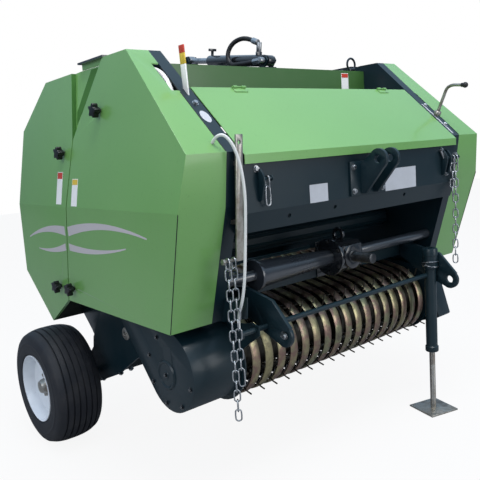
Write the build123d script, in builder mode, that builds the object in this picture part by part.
"""Mini round baler: a towed machine that rolls hay into round bales.

Millimetres. X is across the machine, with +X on the viewer's right seen from the front.
The front, with the hitch, faces -Y. Z is up and the ground is z = 0.
The origin is on the ground under the middle of the machine's box.
"""
import os
from math import atan2, cos, degrees, hypot, pi, radians, sin, sqrt, tan

from build123d import *

os.makedirs("parts", exist_ok=True)

# Driving sizes of the whole machine
half_length = 656.0          # front nose of the top link clevis and rear edge of the guards
head_set = 111.0             # headstock panel behind the nose of the clevis
head_y = head_set - half_length
side_x = 542.0               # inner face of a side plate
side_t = 5.0                 # side plate
guard_x = 586.0              # inner edge of a side guard
guard_t = 3.0                # guard sheet
guard_reach = 800.0          # beyond the widest guard
crease_z = 930.0             # ridge along a guard, level with the chamber's axis
crease_x = 748.0
skin_top = (665.0, 1408.0)   # x, z of the guard's skin at the top
skin_low = (735.0, 576.0)    # x, z of the guard's skin at the bottom

# Bale chamber
axis_y = 177.0
axis_z = crease_z
bale_r = 350.0
roller_r = 44.0
roller_gap = 1.0             # roller to bale
roller_pitch = 360.0 / 14
seam_gap = 6.0

# Wheels
wheel_y = 429.0
tyre_r = 225.0
tyre_w = 188.0
wheel_out = 845.0            # outer face of a tyre
rim_r = 134.0

# Pickup
reel_y = -303.0
reel_z = 427.0
band_r = 140.0
band_t = 4.0
band_w = 33.0
band_count = 17
tine_pitch = 55.8
tine_r = 172.0
tine_wire = 5.0
tine_bar_r = 11.0
tine_bar_at = 92.0
tine_bars = 4
reel_shaft_r = 20.0
cheek_x = 495.0
cheek_t = 5.0

# Drive
drive_y = -409.0
drive_z = 690.0
pto_r = 17.45
pto_end = -560.0
journal_play = 0.5
pto_journal_r = 22.0
pto_journal = 15.0

SIDES = (("left", -1), ("right", 1))


def save(piece, name):
    """Label a finished piece and write it."""
    piece.part.label = name
    export_step(piece.part, f"parts/{name}.step")


def plate(points, x_from, x_to, mode=Mode.ADD):
    """Flat plate across X with its outline in (y, z)."""
    with BuildSketch(Plane.YZ.offset(min(x_from, x_to))) as outline:
        with BuildLine():
            Polyline(*points, close=True)
        make_face()
    extrude(outline.sketch, amount=abs(x_to - x_from), mode=mode)


def rod_x(y, z, radius, x_from, x_to, mode=Mode.ADD):
    """Round bar along X."""
    with BuildSketch(Plane.YZ.offset(min(x_from, x_to))) as disc:
        with Locations((y, z)):
            Circle(radius)
    extrude(disc.sketch, amount=abs(x_to - x_from), mode=mode)


def gon_x(y, z, radius, sides, x_from, x_to, mode=Mode.ADD):
    """Bar along X with a regular many-sided section."""
    with BuildSketch(Plane.YZ.offset(min(x_from, x_to))) as section:
        with Locations((y, z)):
            RegularPolygon(radius, sides)
    extrude(section.sketch, amount=abs(x_to - x_from), mode=mode)


def bar_x(y0, y1, z0, z1, x_from, x_to, mode=Mode.ADD):
    """Square bar along X between two y and two z."""
    plate([(y0, z0), (y1, z0), (y1, z1), (y0, z1)], x_from, x_to, mode)


def tube_x(y0, y1, z0, z1, wall, x_from, x_to):
    """Square tube along X."""
    bar_x(y0, y1, z0, z1, x_from, x_to)
    bar_x(y0 + wall, y1 - wall, z0 + wall, z1 - wall, x_from, x_to, Mode.SUBTRACT)


def bent_strip(route, half):
    """Outline of a flat strip that follows a route in (y, z)."""
    ahead = [(b[0] - a[0], b[1] - a[1]) for a, b in zip(route, route[1:])]
    ahead = [(dy / hypot(dy, dz), dz / hypot(dy, dz)) for dy, dz in ahead]
    left, right = [], []
    for k, (y, z) in enumerate(route):
        first = ahead[max(k - 1, 0)]
        second = ahead[min(k, len(ahead) - 1)]
        ny, nz = -(first[1] + second[1]), first[0] + second[0]
        scale = half * 2 / (ny * ny + nz * nz)
        left.append((y + ny * scale, z + nz * scale))
        right.append((y - ny * scale, z - nz * scale))
    return left + right[::-1]


def lobed(radius, lobes, depth, near, far):
    """Corner points of a section with raised lobes; near and far are shares of the pitch from a lobe's middle."""
    points = []
    for k in range(lobes):
        for share, r in ((-near, radius), (near, radius), (far, radius - depth), (1 - far, radius - depth)):
            a = 2 * pi / lobes * (k + share)
            points.append((r * cos(a), r * sin(a)))
    return points


def inset(points, depth):
    """Outline with every edge moved inwards; the points run anticlockwise or clockwise."""
    area = sum(a[0] * b[1] - b[0] * a[1] for a, b in zip(points, points[1:] + points[:1]))
    turn = 1 if area > 0 else -1
    lines = []
    for a, b in zip(points, points[1:] + points[:1]):
        run = hypot(b[0] - a[0], b[1] - a[1])
        nx = -(b[1] - a[1]) / run * turn
        ny = (b[0] - a[0]) / run * turn
        lines.append((nx, ny, nx * (a[0] + nx * depth) + ny * (a[1] + ny * depth)))
    moved = []
    for first, second in zip(lines[-1:] + lines[:-1], lines):
        cross = first[0] * second[1] - second[0] * first[1]
        y = (first[2] * second[1] - second[2] * first[1]) / cross
        z = (first[0] * second[2] - second[0] * first[2]) / cross
        moved.append((y, z))
    return moved


# Outlines of the guards in (y, z), from the top edge forwards, down and back
front_outline = [
    (-190.0, 1408.0),
    (head_y + 5.0, 1083.0),
    (head_y + 27.0, crease_z),
    (-410.0, 576.0),
    (273.0 - seam_gap, 579.0),
    (axis_y - seam_gap, crease_z),
    (151.0 - seam_gap, 1160.0),
    (-38.0, 1408.0),
]
rear_outline = [
    (412.0, 1383.0),
    (614.0, 1216.0),
    (621.0, crease_z),
    (half_length, 652.0),
    (451.0, 468.0),
    (273.0, 579.0),
    (axis_y, crease_z),
    (151.0, 1160.0),
    (187.0, 1386.0),
]
edge_flange = 12.0           # depth of the folded edge beside the seam


def skin_x(z):
    """x of the guard's outer face at a height."""
    if z >= crease_z:
        x1, z1 = skin_top
    else:
        x1, z1 = skin_low
    return crease_x + (x1 - crease_x) * (z - crease_z) / (z1 - crease_z)


def skin_body(points, depth, x_from=guard_x):
    """Prism over an outline, from an inner x out to the folded skin less a depth."""
    low, high = 300.0, 1600.0
    with BuildPart() as body:
        plate(points, x_from, guard_reach)
        with BuildSketch(Plane.XZ):
            with BuildLine():
                Polyline(
                    (skin_x(low) - depth, low),
                    (crease_x - depth, crease_z),
                    (skin_x(high) - depth, high),
                    (guard_reach + 50, high),
                    (guard_reach + 50, low),
                    close=True,
                )
            make_face()
        extrude(amount=1000, both=True, mode=Mode.SUBTRACT)
    return body.part


def guard_parts(outline, open_to):
    """Outer body, cavity and the cavity behind the shallow edges of one guard.

    The first edges of the outline keep a full depth flange. The others keep a shallow one,
    on the side that open_to names: 1 for the rear of a front guard, -1 for the front of a rear one.
    """
    inner = inset(outline, guard_t)
    deep = inner[:4] if open_to > 0 else inner[:5]
    low, high = 350.0, 1550.0
    far = open_to * 700.0
    shallow = deep + [(deep[-1][0], low), (far, low), (far, high), (deep[0][0], high)]
    return (
        skin_body(outline, 0.0),
        skin_body(inner, guard_t, guard_x - 1),
        skin_body(shallow, edge_flange, guard_x - 1),
    )


# Side plates of the frame, each with its front flange
hinge_y = 165.0
hinge_z = 1405.0
hinge_ear_r = 22.0
hinge_pin_r = 12.0
plate_low = 480.0
side_outline = [
    front_outline[0],
    front_outline[1],
    front_outline[2],
    front_outline[3],
    (-260.0, 575.0),
    (-130.0, plate_low),
    (axis_y - seam_gap, plate_low),
    (axis_y - seam_gap, 1345.0),
    (125.0, 1352.0),
    (105.0, 1390.0),
    (-100.0, 1408.0),
]
flange_t = 5.0
for side, s in SIDES:
    with BuildPart() as side_plate:
        plate(side_outline, s * side_x, s * (side_x + side_t))
        inner = inset(side_outline, flange_t)
        strip = side_outline[:4] + inner[:4][::-1]
        plate(strip, s * side_x, s * guard_x)
    save(side_plate, f"side_plate_{side}")

# Studs that hold the guards, as y, z on the frame and on the tailgate, and their knobs
front_knobs = ((-44.0, 1240.0), (207.0, 632.0))
rear_knobs = ((215.0, 1117.0), (320.0, 628.0))
stud_r = 6.0
stud_play = 0.5
knob_r = 24.0
knob_long = 26.0
knob_off = 5.0

# Side guards of the frame; the left one has a cut-out in its sloping flange
front_body, front_cavity, front_shallow = guard_parts(front_outline, 1)
notch_y = (-240.0, -339.0)
notch_x = 612.0
for side, s in SIDES:
    with BuildPart() as guard:
        add(front_body)
        add(front_cavity, mode=Mode.SUBTRACT)
        add(front_shallow, mode=Mode.SUBTRACT)
        for y, z in front_knobs:
            rod_x(y, z, stud_r + stud_play, guard_x, guard_reach, Mode.SUBTRACT)
        if s < 0:
            plate(
                [(notch_y[0], 1500.0), (notch_y[1], 1500.0), (notch_y[1], 1100.0), (notch_y[0], 1100.0)],
                guard_x - 1,
                notch_x,
                Mode.SUBTRACT,
            )
    if s < 0:
        with BuildPart() as left_guard:
            mirror(guard.part, about=Plane.YZ)
        save(left_guard, f"front_guard_{side}")
    else:
        save(guard, f"front_guard_{side}")

# Tailgate guards, each with a set-back shield that fills the notch at the top of the seam
rear_body, rear_cavity, rear_shallow = guard_parts(rear_outline, -1)
shield_set = 16.0
shield_points = [(151.0, 1160.0), (-20.0, 1388.0), (150.0, 1388.0), (187.0, 1386.0)]
step_points = [(151.0, 1160.0), (187.0, 1386.0), (191.0, 1386.0), (155.0, 1160.0)]
shield_body = skin_body(shield_points, shield_set)
shield_cavity = skin_body(inset(shield_points, -50.0), shield_set + guard_t, guard_x - 1)
step_body = skin_body(step_points, 0.0)
for side, s in SIDES:
    with BuildPart() as shield:
        add(shield_body)
        add(shield_cavity, mode=Mode.SUBTRACT)
    with BuildPart() as step:
        add(step_body)
        add(shield_cavity, mode=Mode.SUBTRACT)
    with BuildPart() as guard:
        add(rear_body)
        add(rear_cavity, mode=Mode.SUBTRACT)
        add(rear_shallow, mode=Mode.SUBTRACT)
        for y, z in rear_knobs:
            rod_x(y, z, stud_r + stud_play, guard_x, guard_reach, Mode.SUBTRACT)
        add(shield.part)
        add(step.part)
    if s < 0:
        with BuildPart() as left_guard:
            mirror(guard.part, about=Plane.YZ)
        save(left_guard, f"rear_guard_{side}")
    else:
        save(guard, f"rear_guard_{side}")

# Star knobs on the studs
knob_lobes = 5
knob_dip = 8.0
for group, places in (("front", front_knobs), ("rear", rear_knobs)):
    with BuildPart() as knobs:
        for side, s in SIDES:
            for y, z in places:
                near = s * (skin_x(z) + knob_off)
                gon_x(y, z, stud_r, 8, s * (side_x + side_t), near)
                with BuildSketch(Plane.YZ.offset(min(near, near + s * knob_long))):
                    with Locations((y, z)):
                        Polygon(*lobed(knob_r, knob_lobes, knob_dip, 0.2, 0.38), align=None)
                extrude(amount=knob_long)
    save(knobs, f"{group}_knobs")

# Line of the hood's sheet, from its rear edge to its front edge
hood_t = 3.0
hood_rear = (-327.0, 1281.0)
hood_front = (head_y - 11.0, 1072.0)
slope = atan2(hood_rear[1] - hood_front[1], hood_rear[0] - hood_front[0])
rest_gap = 0.3

# Headstock panel with folded ends and a folded top, and a foot that leans back
head_t = 5.0
head_top = hood_front[1] + (head_y - hood_front[0]) * tan(slope) - hood_t / cos(slope) - rest_gap
head_fold = 907.0
head_low = 848.0
head_return = 70.0           # depth of the folded ends
head_holes = ((-358.0, 880.0), (-153.0, 883.0), (219.0, 886.0))
head_hole_r = 7.0
with BuildPart() as headstock_panel:
    plate(
        [
            (head_y, head_top),
            (head_y, head_fold),
            (head_y + 22, head_low),
            (head_y + 22 + head_t, head_low),
            (head_y + head_t, head_fold),
            (head_y + head_t, head_top - head_t),
            (head_y + 45, head_top - head_t),
            (head_y + 45, head_top),
        ],
        -side_x,
        side_x,
    )
    for s in (-1, 1):
        plate(
            [
                (head_y + head_t, head_top - head_t),
                (head_y + head_t, head_fold),
                (head_y + 22 + head_t, head_low),
                (head_y + head_return, head_low),
                (head_y + head_return, head_top - head_t),
            ],
            s * side_x,
            s * (side_x - head_t),
        )
    with BuildSketch(Plane.XZ.offset(-head_y - head_return)):
        with Locations(*head_holes):
            Circle(head_hole_r)
    extrude(amount=head_return + head_t, mode=Mode.SUBTRACT)
save(headstock_panel, "headstock_panel")

# Brackets on the headstock with the pins that the safety chains hang from
chain_pin_r = 4.5
chain_pin_y = head_y - 15.0
chain_pin_z = 1000.0
bracket_t = 6.0
bracket_outline = [
    (head_y, 935.0),
    (head_y, 1032.0),
    (chain_pin_y + 2, 1028.0),
    (chain_pin_y - 12, chain_pin_z + 6),
    (chain_pin_y - 12, chain_pin_z - 10),
    (chain_pin_y + 2, 940.0),
]
with BuildPart() as chain_brackets:
    for x in (-485.0, 449.0, 475.0):
        plate(bracket_outline, x, x + bracket_t)
    gon_x(chain_pin_y, chain_pin_z, chain_pin_r, 10, 449.0, 537.0)
    gon_x(chain_pin_y, chain_pin_z, 2 * chain_pin_r, 6, 537.0, 541.0)
    gon_x(chain_pin_y, chain_pin_z, chain_pin_r, 10, -485.0, -448.0)
    gon_x(chain_pin_y, chain_pin_z, 2 * chain_pin_r, 6, -448.0, -444.0)
save(chain_brackets, "chain_brackets")

# Top link clevis
clevis_nose = 34.0
clevis_hole_y = clevis_nose - half_length
clevis_hole_z = 1026.0
clevis_bore = 12.85
clevis_gap = 50.0
clevis_t = 12.0
with BuildPart() as top_link_clevis:
    bar_x(head_y - 8, head_y, 910.0, 1022.0, -90.0, 90.0)
    for s in (-1, 1):
        near = s * clevis_gap / 2
        far = s * (clevis_gap / 2 + clevis_t)
        plate(
            [
                (head_y - 8, 915.0),
                (head_y - 8, 1014.0),
                (clevis_hole_y + 4, clevis_hole_z + clevis_nose),
                (clevis_hole_y, clevis_hole_z),
                (clevis_hole_y - clevis_nose + 4, clevis_hole_z - 16),
                (head_y - 24, 915.0),
            ],
            near,
            far,
        )
        gon_x(clevis_hole_y, clevis_hole_z, clevis_nose, 24, near, far)
        rod_x(clevis_hole_y, clevis_hole_z, clevis_bore, near, far, Mode.SUBTRACT)
save(top_link_clevis, "top_link_clevis")

# Cross beams: under the headstock, behind the pickup, and under the chamber
beam_y = (-350.0, -305.0)
beam_z = (612.0, 657.0)
beam_wall = 4.0
pickup_beam_y = (-60.0, -20.0)
pickup_beam_z = (520.0, 560.0)
arm_x = 595.0
arm_t = 10.0
low_beam_y = (60.0, 115.0)
low_beam_z = (plate_low - 55.0, plate_low)
with BuildPart() as cross_beams:
    tube_x(*beam_y, *beam_z, beam_wall, -side_x, side_x)
    tube_x(*pickup_beam_y, *pickup_beam_z, beam_wall, -side_x, side_x)
    tube_x(*low_beam_y, *low_beam_z, beam_wall, -arm_x, arm_x)
save(cross_beams, "cross_beams")

# Lower hitch plates
hitch_x = 445.0
hitch_t = 12.0
hitch_hole_y = -576.0
hitch_hole_z = 535.0
hitch_bore = 14.35
hitch_nose = 35.0
front_bar_y = -505.0
front_bar_z = 552.0
front_bar_r = 8.5
fit = 0.2
for side, s in SIDES:
    near = s * (hitch_x - hitch_t / 2)
    far = s * (hitch_x + hitch_t / 2)
    with BuildPart() as hitch_plate:
        plate(
            [
                (beam_y[0], beam_z[1]),
                (-420.0, 661.0),
                (-533.0, 635.0),
                (hitch_hole_y - 28, hitch_hole_z + 26),
                (hitch_hole_y, hitch_hole_z),
                (hitch_hole_y - 2, hitch_hole_z - hitch_nose),
                (-560.0, 505.0),
                (-490.0, 532.0),
                (-420.0, 566.0),
                (beam_y[0], beam_z[0]),
            ],
            near,
            far,
        )
        gon_x(hitch_hole_y, hitch_hole_z, hitch_nose, 32, near, far)
        rod_x(hitch_hole_y, hitch_hole_z, hitch_bore, near, far, Mode.SUBTRACT)
        if s < 0:
            rod_x(front_bar_y, front_bar_z, front_bar_r + fit, near, far, Mode.SUBTRACT)
    save(hitch_plate, f"hitch_plate_{side}")

# Parking stand's place on the inner face of the right hitch plate
sleeve_r = 28.0
stand_r = 22.0
stand_x = hitch_x - hitch_t / 2 - sleeve_r
stand_y = -511.0
front_bar_end = -566.0
cable_ring_r = 16.0
cable_ring_w = 14.0
with BuildPart() as front_bar:
    rod_x(front_bar_y, front_bar_z, front_bar_r, front_bar_end, stand_x - stand_r)
    gon_x(front_bar_y, front_bar_z, cable_ring_r, 16, front_bar_end, front_bar_end + cable_ring_w)
save(front_bar, "front_bar")

# Gearbox on the beam, with its cross shaft tubes
box_half = 52.0
box_rear = -355.0
box_x = (-45.0, 62.0)
flange_left = 13.0
flange_right = 12.0
with BuildPart() as gearbox:
    bar_x(box_rear, beam_y[0], beam_z[0], drive_z + 50, -60.0, 70.0)
    corner = 14.0
    plate(
        [
            (box_rear, drive_z - box_half),
            (box_rear, drive_z + box_half),
            (drive_y - box_half + corner, drive_z + box_half),
            (drive_y - box_half, drive_z + box_half - corner),
            (drive_y - box_half, drive_z - box_half + corner),
            (drive_y - box_half + corner, drive_z - box_half),
        ],
        *box_x,
    )
    gon_x(drive_y, drive_z, 66.0, 24, box_x[0] - flange_left, box_x[0])
    gon_x(drive_y, drive_z, 48.0, 20, box_x[1], box_x[1] + flange_right)
    with BuildSketch(Plane.XZ.offset(-drive_y + box_half)):
        with Locations((0, drive_z)):
            RegularPolygon(43, 20)
            Circle(pto_journal_r + journal_play, mode=Mode.SUBTRACT)
    extrude(amount=pto_journal - 1)
    gon_x(drive_y, drive_z + box_half + 22, 26.0, 14, -5.0, 5.0)
    gon_x(drive_y, drive_z + box_half + 22, 15.0, 14, -5.0, 5.0, Mode.SUBTRACT)
save(gearbox, "gearbox")

tube_left = (box_x[0] - flange_left, -397.0, -409.0)
with BuildPart() as drive_tubes:
    gon_x(drive_y, drive_z, 28.0, 20, tube_left[0], tube_left[1])
    gon_x(drive_y, drive_z, 46.0, 20, tube_left[1], tube_left[2])
    gon_x(drive_y, drive_z, 17.0, 16, tube_left[2], -side_x)
    gon_x(drive_y, drive_z, 19.0, 16, box_x[1] + flange_right, side_x)
save(drive_tubes, "drive_tubes")

with BuildPart() as pto_shaft:
    with BuildSketch(Plane.XZ.offset(-drive_y + box_half + journal_play)):
        with Locations((0, drive_z)):
            Circle(pto_journal_r)
    extrude(amount=pto_journal - journal_play)
    with BuildSketch(Plane.XZ.offset(-drive_y + box_half + pto_journal)):
        with Locations((0, drive_z)):
            Circle(pto_r)
    extrude(amount=-pto_end - (-drive_y + box_half + pto_journal))
save(pto_shaft, "pto_shaft")

# Cross panel, top beam with the cylinder's bracket, and the lifting ring
panel_y = -114.0
panel_low = 1255.0
panel_top = 1383.0
panel_t = 4.0
panel_fold = 14.0
with BuildPart() as top_cross_panel:
    bar_x(panel_y - panel_t, panel_y, panel_low, panel_top, -side_x, side_x)
    bar_x(panel_y, panel_y + panel_fold, panel_top - panel_t, panel_top, -side_x, side_x)
save(top_cross_panel, "top_cross_panel")

ring_x = 465.0
ring_r = 20.0
ring_wire = 8.0
ring_y = panel_y + panel_fold / 2
ring_seat = 4.0
with BuildPart() as lifting_ring:
    with BuildSketch(Plane.XZ.offset(-ring_y - ring_wire / 2)):
        with Locations((ring_x, panel_top + ring_seat + ring_r - 1)):
            RegularPolygon(ring_r, 16)
            RegularPolygon(ring_r - ring_wire, 16, mode=Mode.SUBTRACT)
    extrude(amount=ring_wire)
    bar_x(ring_y - 6, ring_y + 6, panel_top, panel_top + ring_seat, ring_x - 16, ring_x + 16)
save(lifting_ring, "lifting_ring")

anchor_y = -102.0
anchor_z = 1411.0
lug_t = 8.0
eye_w = 30.0
eye_play = 1.5
cyl_pin_r = 10.0
pin_end = eye_w / 2 + 14.0
beam_side = 45.0
foot_x = 40.0
with BuildPart() as top_beam:
    tube_x(panel_y, panel_y + beam_side, panel_top - panel_t - beam_side, panel_top - panel_t, 4, -side_x, side_x)
    bar_x(panel_y + panel_fold, panel_y + beam_side, panel_top - panel_t, panel_top + 6, -foot_x, foot_x)
    for s in (-1, 1):
        near = s * (eye_w / 2 + eye_play)
        far = s * (eye_w / 2 + eye_play + lug_t)
        plate(
            [
                (panel_y + panel_fold, panel_top + 6),
                (anchor_y - 17, anchor_z),
                (anchor_y - 8, anchor_z + 15),
                (anchor_y + 8, anchor_z + 15),
                (anchor_y + 17, anchor_z + 4),
                (anchor_y + 23, panel_top + 6),
            ],
            near,
            far,
        )
    rod_x(anchor_y, anchor_z, cyl_pin_r, -pin_end, pin_end)
save(top_beam, "top_beam")

# Hood, hinged at its rear edge on pins that the rail's ears hold
hood_axis = (-315.0, 1274.0)
hood_x = 536.5
hood_lip = 26.0
hood_eye_r = 8.0
hood_pin_r = 4.0
hood_strap = 24.0
hood_hinges = (-365.0, 365.0)
drop = (hood_t * sin(slope), -hood_t * cos(slope))
with BuildPart() as hood:
    plate(
        [
            hood_rear,
            hood_front,
            (hood_front[0], hood_front[1] - hood_lip),
            (hood_front[0] + hood_t, hood_front[1] - hood_lip),
            (hood_front[0] + hood_t, hood_front[1] + drop[1] + 2),
            (hood_rear[0] + drop[0], hood_rear[1] + drop[1]),
        ],
        -hood_x,
        hood_x,
    )
    for x in hood_hinges:
        near = x - hood_strap / 2
        far = x + hood_strap / 2
        plate(
            [
                (hood_rear[0] + drop[0] - 30 * cos(slope), hood_rear[1] + drop[1] - 30 * sin(slope) + 1),
                (hood_rear[0] + drop[0], hood_rear[1] + drop[1] + 1),
                (hood_axis[0], hood_axis[1] + hood_eye_r),
                (hood_axis[0] - 2, hood_axis[1] - hood_eye_r + 1),
            ],
            near,
            far,
        )
        rod_x(*hood_axis, hood_eye_r, near, far)
        rod_x(*hood_axis, hood_pin_r + journal_play, near, far, Mode.SUBTRACT)
save(hood, "hood")

# Rail across the frame with the ears and pins of the hood's hinges
rail_half = 15.0
rail_drop = 12.0
rail_top = hood_axis[1] - rail_drop
ear_t = 5.0
ear_gap = 1.0
with BuildPart() as hood_rail:
    tube_x(hood_axis[0] - rail_half, hood_axis[0] + rail_half, rail_top - 2 * rail_half, rail_top, 3, -side_x, side_x)
    for x in hood_hinges:
        for s in (-1, 1):
            near = x + s * (hood_strap / 2 + ear_gap)
            far = near + s * ear_t
            bar_x(hood_axis[0] - 7, hood_axis[0] + 8, rail_top, hood_axis[1], near, far)
            gon_x(*hood_axis, hood_eye_r, 16, near, far)
        gon_x(*hood_axis, hood_pin_r, 10, x - hood_strap / 2 - ear_gap, x + hood_strap / 2 + ear_gap)
save(hood_rail, "hood_rail")

# Hinge brackets of the tailgate on the frame
with BuildPart() as hinge_right:
    plate(
        [(-45.0, 1345.0), (95.0, 1345.0), (hinge_y, hinge_z - hinge_ear_r), (hinge_y, hinge_z), (-45.0, 1402.0)],
        side_x + side_t,
        side_x + side_t + 10,
    )
    rod_x(hinge_y, hinge_z, hinge_ear_r, side_x + side_t, side_x + side_t + 10)
    bar_x(-45.0, 135.0, 1408.0, 1414.0, side_x + side_t, skin_top[0] + 3)
    bar_x(-45.0, 0.0, 1402.0, 1408.0, side_x + side_t, side_x + side_t + 10)
    rod_x(hinge_y, hinge_z, hinge_pin_r, side_x - 8, side_x + side_t)
with BuildPart() as hinge_brackets:
    add(hinge_right.part)
    mirror(hinge_right.part, about=Plane.YZ)
save(hinge_brackets, "hinge_brackets")

# Chamber rollers, on the frame and on the tailgate
front_rollers = (4, 5, 6, 7, 8, 10)
rear_rollers = (3, 2, 1, 0, -1, -2, -3)
roller_at = bale_r + roller_gap + roller_r
journal_r = 17.0
roller_end = 4.0
roller_ribs = 7
rib_h = 5.0
for name, numbers in (("front_rollers", front_rollers), ("rear_rollers", rear_rollers)):
    with BuildPart() as rollers:
        for number in numbers:
            angle = radians(roller_pitch * number)
            y = axis_y + roller_at * cos(angle)
            z = axis_z + roller_at * sin(angle)
            with BuildSketch(Plane.YZ.offset(-side_x + roller_end)):
                with Locations((y, z)):
                    Polygon(*lobed(roller_r, roller_ribs, rib_h, 0.12, 0.2), align=None)
            extrude(amount=2 * (side_x - roller_end))
            gon_x(y, z, journal_r, 8, -side_x, side_x)
    save(rollers, name)

# Axle beam and the arms that carry it
axle_z = tyre_r
axle_half = 27.5
spindle_r = 16.0
spindle_end = wheel_out - 70.0
with BuildPart() as axle_beam:
    tube_x(wheel_y - axle_half, wheel_y + axle_half, axle_z - axle_half, axle_z + axle_half, 6, -arm_x, arm_x)
    for s in (-1, 1):
        rod_x(wheel_y, axle_z, spindle_r, s * (arm_x + arm_t), s * spindle_end)
save(axle_beam, "axle_beam")
arm_outline = [
    (-56.0, 560.0),
    (-56.0, 419.0),
    (44.0, 365.0),
    (191.0, 272.0),
    (349.0, 206.0),
    (wheel_y - axle_half - 4, axle_z - axle_half - 12),
    (wheel_y + axle_half + 8, axle_z - axle_half - 12),
    (wheel_y + axle_half + 12, axle_z + axle_half + 14),
    (430.0, 301.0),
    (387.0, 340.0),
    (377.0, 384.0),
    (275.0, 520.0),
    (165.0, 560.0),
]
with BuildPart() as axle_arms:
    for s in (-1, 1):
        plate(arm_outline, s * arm_x, s * (arm_x + arm_t))
save(axle_arms, "axle_arms")

# Idler pulley on the left arm
idler_y = 38.0
idler_z = 470.0
idler_r = 23.0
idler_x = arm_x + arm_t
with BuildPart() as idler_pulley:
    gon_x(idler_y, idler_z, 8.0, 10, -idler_x, -idler_x - 45)
    gon_x(idler_y, idler_z, idler_r, 20, -idler_x - 8, -idler_x - 13)
    gon_x(idler_y, idler_z, idler_r - 6, 20, -idler_x - 13, -idler_x - 31)
    gon_x(idler_y, idler_z, idler_r, 20, -idler_x - 31, -idler_x - 36)
save(idler_pulley, "idler_pulley")

# Wheels: sections of the tyre and of the rim as distance out from the wheel's middle and radius
wheel_sides = 40
half = tyre_w / 2
rim_fit = 0.3
seat_r = rim_r - 14.0
hub_r = 34.0
tyre_section = [
    (half - 22, seat_r),
    (half - 6, rim_r - 2),
    (half, rim_r + 36),
    (half - 5, tyre_r - 24),
    (half - 24, tyre_r - 4),
    (half - 56, tyre_r),
]
rim_section = [
    (-half + 22, seat_r - rim_fit),
    (half - 22, seat_r - rim_fit),
    (half - 8, rim_r - 3.5 - rim_fit),
    (half - 4, rim_r - 4),
    (half - 22, seat_r - 6),
    (half - 42, 62.0),
    (half - 50, hub_r),
    (half - 18, hub_r - 4),
    (half - 18, 0.0),
    (half - 66, 0.0),
    (half - 66, spindle_r + journal_play),
    (half - 150, spindle_r + journal_play),
    (half - 150, hub_r),
    (half - 58, hub_r),
    (half - 48, 66.0),
    (half - 34, seat_r - 7),
    (-half + 22, seat_r - 6),
]


def turned(section, side):
    """Many-sided ring or disc turned about the wheel's axis from a section of distance and radius."""
    faces = []
    corners = []
    for k in range(wheel_sides):
        a = 2 * pi * k / wheel_sides
        corners.append(
            [Vector(side * (wheel_out - half + x), wheel_y + r * cos(a), axle_z + r * sin(a)) for x, r in section]
        )
    for k in range(wheel_sides):
        here, there = corners[k], corners[(k + 1) % wheel_sides]
        for i in range(len(section)):
            j = (i + 1) % len(section)
            ring = [here[i], here[j], there[j], there[i]]
            kept = [p for n, p in enumerate(ring) if (p - ring[n - 1]).length > 1e-6]
            if len(kept) > 2:
                faces.append(Face(Wire.make_polygon(kept, close=True)))
    return Solid(Shell(faces))


for side, s in SIDES:
    with BuildPart() as tyre:
        add(turned(tyre_section + [(-x, r) for x, r in tyre_section[::-1]], s))
    save(tyre, f"tyre_{side}")
    with BuildPart() as rim:
        add(turned(rim_section, s))
    save(rim, f"rim_{side}")

# Pickup: cheeks, stripper bands, and the tined reel
cheek_rear = pickup_beam_y[0]
foot_y = -104.0
with BuildPart() as pickup_cheeks:
    for side, s in SIDES:
        with BuildSketch(Plane.YZ.offset(min(s * cheek_x, s * (cheek_x + cheek_t)))):
            with Locations((reel_y, reel_z)):
                RegularPolygon(band_r + 5, 40)
            with BuildLine():
                Polyline(
                    (reel_y + 20, reel_z + band_r),
                    (cheek_rear, 600.0),
                    (cheek_rear, 420.0),
                    (foot_y + 12, reel_z - band_r - 4),
                    (reel_y, reel_z - band_r - 4),
                    (reel_y - 40, reel_z),
                    close=True,
                )
            make_face()
            with BuildLine():
                Polyline(
                    (front_bar_y - 18, front_bar_z - 16),
                    (front_bar_y - 18, front_bar_z + 14),
                    (front_bar_y + 12, front_bar_z + 18),
                    (reel_y - 60, reel_z + 120),
                    (reel_y - 120, reel_z + 40),
                    close=True,
                )
            make_face()
            with Locations((reel_y, reel_z)):
                Circle(reel_shaft_r + journal_play, mode=Mode.SUBTRACT)
            if s < 0:
                with Locations((front_bar_y, front_bar_z)):
                    Circle(front_bar_r + fit, mode=Mode.SUBTRACT)
        extrude(amount=cheek_t)
save(pickup_cheeks, "pickup_cheeks")

band_end = (2.0, 636.0)
reach = hypot(band_end[0] - reel_y, band_end[1] - reel_z)
tangent = atan2(band_end[1] - reel_z, band_end[0] - reel_y) + atan2(sqrt(reach ** 2 - band_r ** 2), band_r)
inner_r = band_r - band_t


def on_reel(radius, angle):
    """Point at a radius and an angle round the reel, in (y, z)."""
    return (reel_y + radius * cos(angle), reel_z + radius * sin(angle))


arc_steps = 12
arc_turn = (radians(270) - tangent) / arc_steps
bend = 1 / cos(arc_turn / 2)
outer_arc = [on_reel(band_r * bend, tangent + arc_turn * (k + 0.5)) for k in range(arc_steps)]
inner_arc = [on_reel(inner_r * bend, tangent + arc_turn * (k + 0.5)) for k in range(arc_steps)]
under_end = (band_end[0] - band_t * cos(tangent), band_end[1] - band_t * sin(tangent))
band_outline = [band_end]
band_outline += outer_arc
band_outline += [(foot_y, reel_z - band_r), (foot_y, reel_z - inner_r)]
band_outline += inner_arc[::-1]
band_outline += [under_end]
with BuildPart() as band:
    plate(band_outline, -band_w / 2, band_w / 2)
with BuildPart() as stripper_bands:
    with Locations(*[(tine_pitch * (i - (band_count - 1) / 2), 0, 0) for i in range(band_count)]):
        add(band.part)
    bar_x(foot_y, foot_y + 6, reel_z - band_r - 4, reel_z - inner_r + 8, -cheek_x, cheek_x)
    bar_x(band_end[0] - 6, band_end[0], band_end[1] - 22, band_end[1] - 2, -side_x, side_x)
save(stripper_bands, "stripper_bands")

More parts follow.
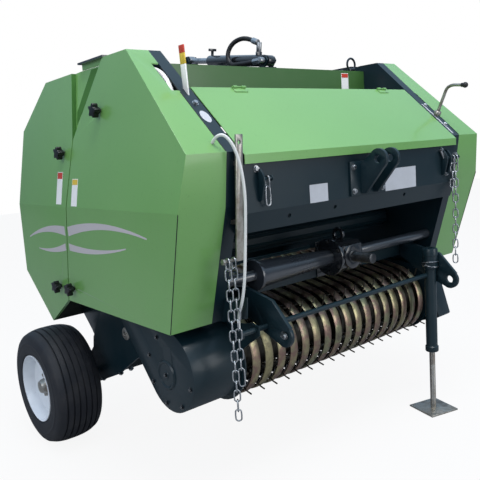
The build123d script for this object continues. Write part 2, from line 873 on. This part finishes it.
with BuildPart() as tine:
    with BuildSketch(Plane.YZ.offset(-tine_wire / 2)):
        with BuildLine():
            Polyline(
                (tine_bar_at - 4, -2.0),
                (tine_bar_at + 34, -2.0),
                (tine_r, 22.0),
                (tine_r - 3, 26.0),
                (tine_bar_at + 32, 3.0),
                (tine_bar_at - 4, 3.0),
                close=True,
            )
        make_face()
    extrude(amount=tine_wire)
with BuildPart() as tine_row:
    with Locations(*[(tine_pitch * (i - band_count / 2), 0, 0) for i in range(band_count + 1)]):
        add(tine.part)
    gon_x(tine_bar_at, 0, tine_bar_r, 8, -cheek_x + 6, cheek_x - 6)
disc_xs = (-cheek_x + 6, -3.0, cheek_x - 12)
with BuildPart() as pickup_reel:
    for k in range(tine_bars):
        add(tine_row.part.rotate(Axis.X, 45 + 360 / tine_bars * k))
    rod_x(0, 0, reel_shaft_r, -cheek_x - cheek_t - 6, cheek_x + cheek_t + 6)
    for x in disc_xs:
        gon_x(0, 0, tine_bar_at + tine_bar_r + 5, 24, x, x + 6)
with BuildPart() as reel_placed:
    add(pickup_reel.part.moved(Location((0, reel_y, reel_z))))
save(reel_placed, "pickup_reel")

# Pickup end covers: a round drive case on the left, a bent plate on the right
cover_r = 130.0
cover_in = arm_x + arm_t + 1
cover_out = 684.0
case_top = (0.0, 640.0)
case_top_r = 48.0
front_shield_t = 4.0
with BuildPart() as pickup_cover_left:
    with BuildSketch(Plane.YZ.offset(-cover_out)):
        with Locations((reel_y, reel_z)):
            RegularPolygon(cover_r, 40)
        with Locations(case_top):
            RegularPolygon(case_top_r, 24)
        make_hull()
        with Locations((reel_y + 8, reel_z + 22)):
            SlotCenterToCenter(60, 34, rotation=98, mode=Mode.SUBTRACT)
    extrude(amount=cover_out - cover_in)
    gon_x(reel_y, reel_z, 60.0, 24, -cover_out + 14, -cover_out + 34)
    with BuildSketch(Plane.YZ.offset(-cover_in)):
        with Locations((reel_y, reel_z)):
            RegularPolygon(cover_r, 40)
            RegularPolygon(cover_r - front_shield_t, 40, mode=Mode.SUBTRACT)
        with Locations((reel_y + 160, reel_z)):
            Rectangle(300, 400, mode=Mode.SUBTRACT)
    extrude(amount=cover_in - cheek_x - cheek_t)
save(pickup_cover_left, "pickup_cover_left")

right_front = [(-445.0, 500.0), (-488.0, 357.0)]
with BuildPart() as pickup_cover_right:
    plate(
        [
            (-300.0, 600.0),
            (-430.0, 560.0),
            right_front[0],
            right_front[1],
            (-480.0, 350.0),
            (-300.0, 292.0),
            (-200.0, 360.0),
            (-120.0, 600.0),
        ],
        577.0,
        583.0,
    )
    plate(
        [(-430.0, 560.0), right_front[0], right_front[1], (-484.0, 357.0), (-441.0, 500.0), (-426.0, 560.0)],
        cheek_x + cheek_t,
        577.0,
    )
    plate(
        [right_front[1], (-480.0, 350.0), (-300.0, 292.0), (-300.0, 296.0), (-479.0, 354.0), (-484.0, 357.0)],
        cheek_x + cheek_t,
        577.0,
    )
save(pickup_cover_right, "pickup_cover_right")

# Parking stand on the right hitch plate
rod_r = 11.0
stand_low = 242.0
foot_half = 66.0
foot_t = 6.0
with BuildPart() as stand_tube:
    with BuildSketch(Plane.XY.offset(577.0)):
        with Locations((stand_x, stand_y)):
            Circle(sleeve_r)
    extrude(amount=658.0 - 577.0)
    with BuildSketch(Plane.XY.offset(stand_low)):
        with Locations((stand_x, stand_y)):
            Circle(stand_r)
    extrude(amount=577.0 - stand_low)
    with BuildSketch(Plane.XY.offset(stand_low - 12)):
        with Locations((stand_x, stand_y)):
            Circle(15)
    extrude(amount=12)
    with BuildSketch(Plane.XY.offset(stand_low - 36)):
        with Locations((stand_x, stand_y)):
            Circle(18)
    extrude(amount=24)
    with BuildSketch(Plane.XY.offset(stand_low - 36)):
        with Locations((stand_x, stand_y)):
            Circle(rod_r + journal_play)
    extrude(amount=430.0, mode=Mode.SUBTRACT)
save(stand_tube, "stand_tube")
with BuildPart() as stand_leg:
    with BuildSketch(Plane.XY.offset(foot_t)):
        with Locations((stand_x, stand_y)):
            Circle(rod_r)
    extrude(amount=430.0)
    with BuildSketch(Plane.XY):
        with Locations(Location((stand_x, stand_y, 0), (0, 0, -15))):
            Rectangle(2 * foot_half, 2 * foot_half)
    extrude(amount=foot_t)
save(stand_leg, "stand_leg")

# Tailgate: side plates, beams and the cylinder's lug
gate_outline = [
    (axis_y, plate_low),
    (axis_y, 1350.0),
    (hinge_y - hinge_ear_r * 0.8, hinge_z - hinge_ear_r * 0.6),
    (hinge_y, hinge_z + hinge_ear_r * 0.9),
    (395.0, 1374.0),
    (596.0, 1207.0),
    (606.0, crease_z),
    (632.0, 660.0),
    (440.0, plate_low),
]
for side, s in SIDES:
    with BuildPart() as gate_plate:
        plate(gate_outline, s * side_x, s * (side_x + side_t))
        rod_x(hinge_y, hinge_z, hinge_pin_r + 0.3, s * side_x, s * (side_x + side_t), Mode.SUBTRACT)
        inner = inset(gate_outline, flange_t)
        strip = gate_outline[4:9] + inner[4:9][::-1]
        plate(strip, s * (side_x + side_t), s * (side_x + side_t + 25))
    save(gate_plate, f"gate_plate_{side}")

gate_beam_y = (380.0, 415.0)
gate_beam_z = (1332.0, 1367.0)
gate_foot_y = (455.0, 495.0)
gate_foot_z = (540.0, 580.0)
rod_eye_y = 400.0
rod_eye_z = 1485.0
lug_top = 18.0
with BuildPart() as gate_beams:
    tube_x(*gate_beam_y, *gate_beam_z, 3, -side_x, side_x)
    tube_x(*gate_foot_y, *gate_foot_z, 3, -side_x, side_x)
    for s in (-1, 1):
        near = s * (eye_w / 2 + eye_play + 1)
        far = s * (eye_w / 2 + eye_play + 1 + lug_t)
        plate(
            [
                (gate_beam_y[0], gate_beam_z[1]),
                (rod_eye_y - lug_top, rod_eye_z - 4),
                (rod_eye_y - 9, rod_eye_z + lug_top - 2),
                (rod_eye_y + 9, rod_eye_z + lug_top - 2),
                (rod_eye_y + lug_top, rod_eye_z - 4),
                (gate_beam_y[1], gate_beam_z[1]),
            ],
            near,
            far,
        )
        rod_x(rod_eye_y, rod_eye_z, cyl_pin_r, far, far + s * 8)
save(gate_beams, "gate_beams")

# Hydraulic cylinder, drawn along the line between its two eyes
span = hypot(rod_eye_y - anchor_y, rod_eye_z - anchor_z)
tilt = degrees(atan2(rod_eye_z - anchor_z, rod_eye_y - anchor_y))
barrel_r = 22.0
barrel_long = 365.0
bore_from = 215.0            # inner end of the bore, clear of the rod when the tailgate is open
rod_in = 20.0                # length of rod inside the barrel at rest
port_at = 58.0
port_high = 11.0
valve_at = barrel_long - 14
piston_rod_r = 12.0
seat = Location((0, anchor_y, anchor_z), (tilt, 0, 0))
with BuildPart() as barrel:
    with BuildSketch(Plane.XZ.offset(-24)):
        Circle(barrel_r)
    extrude(amount=-(barrel_long - 24))
    gon_x(0, 0, 20.0, 20, -eye_w / 2, eye_w / 2)
    with BuildSketch(Plane.XZ):
        Rectangle(eye_w, 34)
    extrude(amount=-26)
    rod_x(0, 0, cyl_pin_r + 0.3, -eye_w / 2, eye_w / 2, Mode.SUBTRACT)
    with BuildSketch(Plane.XY.offset(barrel_r - 3)):
        with Locations((0, port_at)):
            RegularPolygon(13, 6)
    extrude(amount=port_high + 3)
    with BuildSketch(Plane.XY.offset(barrel_r - 3)):
        with Locations((0, valve_at)):
            RegularPolygon(6, 8)
    extrude(amount=20)
    with BuildSketch(Plane.XY.offset(barrel_r + 17)):
        with Locations((0, valve_at)):
            Rectangle(32, 13)
    extrude(amount=10)
    with BuildSketch(Plane.XZ.offset(-bore_from)):
        Circle(piston_rod_r + journal_play)
    extrude(amount=-(barrel_long + 10 - bore_from), mode=Mode.SUBTRACT)
with BuildPart() as barrel_placed:
    add(barrel.part.moved(seat))
save(barrel_placed, "cylinder_barrel")
with BuildPart() as piston_rod:
    with BuildSketch(Plane.XZ.offset(-(barrel_long - rod_in))):
        Circle(piston_rod_r)
    extrude(amount=-(span - barrel_long + rod_in - 16))
    gon_x(span, 0, 19.0, 20, -eye_w / 2, eye_w / 2)
    rod_x(span, 0, cyl_pin_r + 2, -eye_w / 2, eye_w / 2, Mode.SUBTRACT)
with BuildPart() as rod_placed:
    add(piston_rod.part.moved(seat))
save(rod_placed, "cylinder_rod")

# Hydraulic hose from the barrel's port round to a swivel on the end of the pivot pin
hose_r = 9.0
hose_route = [
    (0.0, -20.0, 1499.0),
    (0.0, 12.0, 1513.0),
    (-8.0, 48.0, 1517.0),
    (-22.0, 80.0, 1504.0),
    (-33.0, 98.0, 1474.0),
    (-37.0, 96.0, 1440.0),
    (-38.0, 72.0, 1417.0),
    (-39.0, 26.0, 1415.0),
    (-41.0, -22.0, anchor_z),
    (-41.0, -62.0, anchor_z),
]


def corner_radii(name, route, tube_r):
    """Radius of the arc at each corner of a cord's route, from the shorter of its two runs."""
    points = [Vector(*p) for p in route]
    radii = []
    for before, here, after in zip(points, points[1:], points[2:]):
        run_in, run_out = here - before, after - here
        half_turn = radians(run_in.get_angle(run_out)) / 2
        radii.append(0.45 * min(run_in.length, run_out.length) / tan(half_turn))
    print(name, "radii", [round(r) for r in radii])
    print(name, "least radius over diameter", round(min(radii) / (2 * tube_r), 1))
    return radii


def cord(name, route, tube_r):
    """Tube along a route of straight runs and tangent arcs."""
    with BuildPart() as tube:
        with BuildLine() as path:
            FilletPolyline(*route, radius=corner_radii(name, route, tube_r))
        start = Vector(*route[0])
        with BuildSketch(Plane(origin=start, z_dir=Vector(*route[1]) - start)):
            Circle(tube_r)
        sweep(path=path.line)
    print(name, "length", round(sum(edge.length for edge in path.edges()), 1))
    save(tube, name)


cord("hydraulic_hose", hose_route, hose_r)

ferrule_r = 12.0
ferrule_long = 28.0
swivel_x = pin_end + 0.3
hose_start = Vector(*hose_route[0])
hose_out = (Vector(*hose_route[1]) - hose_start).normalized()
with BuildPart() as elbow:
    with BuildSketch(Plane.XY.offset(barrel_r + port_high)):
        with Locations((0, port_at)):
            RegularPolygon(10, 8)
    extrude(amount=35)
with BuildPart() as hose_fittings:
    add(elbow.part.moved(seat))
    with BuildSketch(Plane(origin=hose_start, z_dir=hose_out)):
        RegularPolygon(ferrule_r, 10)
    extrude(amount=-ferrule_long)
    gon_x(anchor_y, anchor_z, ferrule_r, 12, -swivel_x, hose_route[-1][0] - hose_r)
    with BuildSketch(Plane.XZ.offset(-hose_route[-1][1])):
        with Locations((hose_route[-1][0], anchor_z)):
            RegularPolygon(ferrule_r - 1, 10)
    extrude(amount=hose_route[-1][1] - anchor_y)
save(hose_fittings, "hose_fittings")


# Points on the folded front edge of the frame: its sloping top and its front
def slope_z(y):
    """z of the sloping edge at a y."""
    (y1, z1), (y2, z2) = front_outline[:2]
    return z1 + (y - y1) * (z2 - z1) / (y2 - y1)


def front_y(z):
    """y of the front edge at a height."""
    first, second = front_outline[1:3] if z >= crease_z else front_outline[2:4]
    return first[0] + (z - first[1]) * (second[0] - first[0]) / (second[1] - first[1])


# Tension bar in front of the left flange, on two spacers, with the chains' pin at its foot
bar_t = 6.0
bar_route = [(head_y - 13.0, 1128.0), (head_y + 20.0, 775.0)]
bar_x_in = -(side_x + 1)
bar_x_out = -567.0
bar_pin_z = 780.0
bar_hole_z = 1106.0
spacer_half = 6.0


def bar_y_at(z):
    """y of the tension bar's middle at a height."""
    (y1, z1), (y2, z2) = bar_route
    return y1 + (z - z1) * (y2 - y1) / (z2 - z1)


bar_pin_y = bar_y_at(bar_pin_z)
bar_pin_out = -612.0
with BuildPart() as tension_bar:
    plate(bent_strip(bar_route, bar_t / 2), bar_x_out, bar_x_in)
    with BuildSketch(Plane.XZ.offset(-bar_y_at(bar_hole_z) - 20)):
        with Locations(((bar_x_in + bar_x_out) / 2, bar_hole_z)):
            Circle(5.5)
    extrude(amount=40, mode=Mode.SUBTRACT)
    for z in (885.0, 1050.0):
        low, high = z - spacer_half, z + spacer_half
        plate(
            [
                (bar_y_at(low) + bar_t / 2, low),
                (bar_y_at(high) + bar_t / 2, high),
                (front_y(high), high),
                (front_y(low), low),
            ],
            bar_x_in - spacer_half,
            bar_x_in - 3 * spacer_half,
        )
    gon_x(bar_pin_y, bar_pin_z, chain_pin_r, 10, bar_x_out, bar_pin_out)
    gon_x(bar_pin_y, bar_pin_z, 2 * chain_pin_r, 6, bar_pin_out, bar_pin_out - 6)
save(tension_bar, "tension_bar")

# Safety chains: pin, first link's x, number of links, sideways step of each link
link_long = 40.0
link_w = 20.0
link_wire = 5.0
hook_long = 60.0
link_play = 0.3
chains = (
    (bar_pin_y, bar_pin_z, -600.0, 16, 0.0, False),
    (bar_pin_y, bar_pin_z, -578.0, 11, 0.0, True),
    (chain_pin_y, chain_pin_z, 525.0, 14, -1.0, False),
    (chain_pin_y, chain_pin_z, 503.0, 5, -1.0, False),
    (chain_pin_y, chain_pin_z, -462.0, 1, 0.0, True),
)


def link_solid(long, wide, wire):
    """Flat ring with cut corners, standing in the XZ plane."""
    with BuildPart() as link:
        with BuildSketch(Plane.XZ.offset(-wire / 2)):
            for length, width, corner, mode in (
                (long, wide, wire, Mode.ADD),
                (long - 2 * wire, wide - 2 * wire, wire / 3, Mode.SUBTRACT),
            ):
                a, b = width / 2, length / 2
                right = [(a, b - corner), (a - corner, b)]
                points = right + [(-x, z) for x, z in right[::-1]]
                points += [(-x, -z) for x, z in right] + [(x, -z) for x, z in right[::-1]]
                Polygon(*points, align=None, mode=mode)
        extrude(amount=wire)
    return link.part


link_part = link_solid(link_long, link_w, link_wire)
hook_part = link_solid(hook_long, link_w, link_wire)
pitch = link_long - 2 * link_wire - link_play
first_drop = link_long / 2 - link_wire - chain_pin_r - link_play
with BuildPart() as safety_chains:
    for pin_y, pin_z, first_x, count, step, hooked in chains:
        top_z = pin_z - first_drop
        places = [(first_x + step * k, pin_y, top_z - pitch * k) for k in range(count)]
        turns = [0 if k % 2 else 90 for k in range(count)]
        with Locations(*[Location(place, (0, 0, turn)) for place, turn in zip(places, turns)]):
            add(link_part)
        if hooked:
            x, y, z = places[-1]
            hook_z = z - (link_long + hook_long) / 2 + 2 * link_wire + link_play
            with Locations(Location((x, y, hook_z), (0, 0, 90 - turns[-1]))):
                add(hook_part)
save(safety_chains, "safety_chains")

# Control cable out of the left guard's sloping edge and down to the ring on the front bar
cable_r = 4.5
cable_x = -612.0
cable_y = head_y + 33.0
edge_turn = atan2(front_outline[0][1] - front_outline[1][1], front_outline[0][0] - front_outline[1][0])
cable_exit = (cable_y - 0.3 * sin(edge_turn), slope_z(cable_y) + 0.3 * cos(edge_turn))
cable_end_x = front_bar_end + cable_ring_w / 2
cable_route = [
    (cable_x, *cable_exit),
    (cable_x, cable_exit[0] - 22 * sin(edge_turn), cable_exit[1] + 22 * cos(edge_turn)),
    (-600.0, head_y - 3.0, 1131.0),
    (-585.0, head_y - 17.0, 1108.0),
    (-573.0, head_y - 24.0, 1072.0),
    (-563.0, head_y - 27.0, 1022.0),
    (-558.0, head_y - 27.0, 960.0),
    (-559.0, head_y - 22.0, 890.0),
    (-562.0, head_y - 15.0, 800.0),
    (-565.0, head_y - 7.0, 716.0),
    (-566.0, head_y + 9.0, 653.0),
    (-562.0, -508.0, 612.0),
    (cable_end_x, front_bar_y, front_bar_z + cable_ring_r + 0.3),
]
cable_route[-2] = (cable_end_x, front_bar_y, cable_route[-2][2])
cord("control_cable", cable_route, cable_r)

# Bale size indicator on the sloping edge, and the drum in the guard's cut-out
mark_x = (-567.5, -562.5)
drum_y = -300.0
drum_r = 22.0
drum_drop = 15.0
with BuildPart() as bale_indicator:
    plate(
        [(-356.0, slope_z(-356.0)), (-332.0, slope_z(-332.0)), (-325.0, 1400.0), (-349.0, 1400.0)],
        *mark_x,
    )
    gon_x(drum_y, slope_z(drum_y) - drum_drop, 4.0, 10, -side_x - side_t, -guard_x - 4)
    gon_x(drum_y, slope_z(drum_y) - drum_drop, drum_r, 20, -guard_x - 4, -guard_x - 22)
save(bale_indicator, "bale_indicator")

# Hand lever on the right flange
lever_x = 565.0
lever_r = 5.0
grip_r = 10.0
lever_y = -454.0
lever_lift = 1.85            # so that the lower corner of the lever's foot rests on the flange
lever_foot = (lever_y - lever_lift * sin(edge_turn), slope_z(lever_y) + lever_lift * cos(edge_turn))
lever_route = [lever_foot, (-500.0, 1262.0), (-530.0, 1276.0), (-548.0, 1273.5)]
grip_route = [(-545.0, 1274.0), (-590.0, 1268.0)]
with BuildPart() as hand_lever:
    plate(bent_strip(lever_route, lever_r), lever_x - lever_r, lever_x + lever_r)
    plate(bent_strip(grip_route, grip_r), lever_x - grip_r, lever_x + grip_r)
save(hand_lever, "hand_lever")
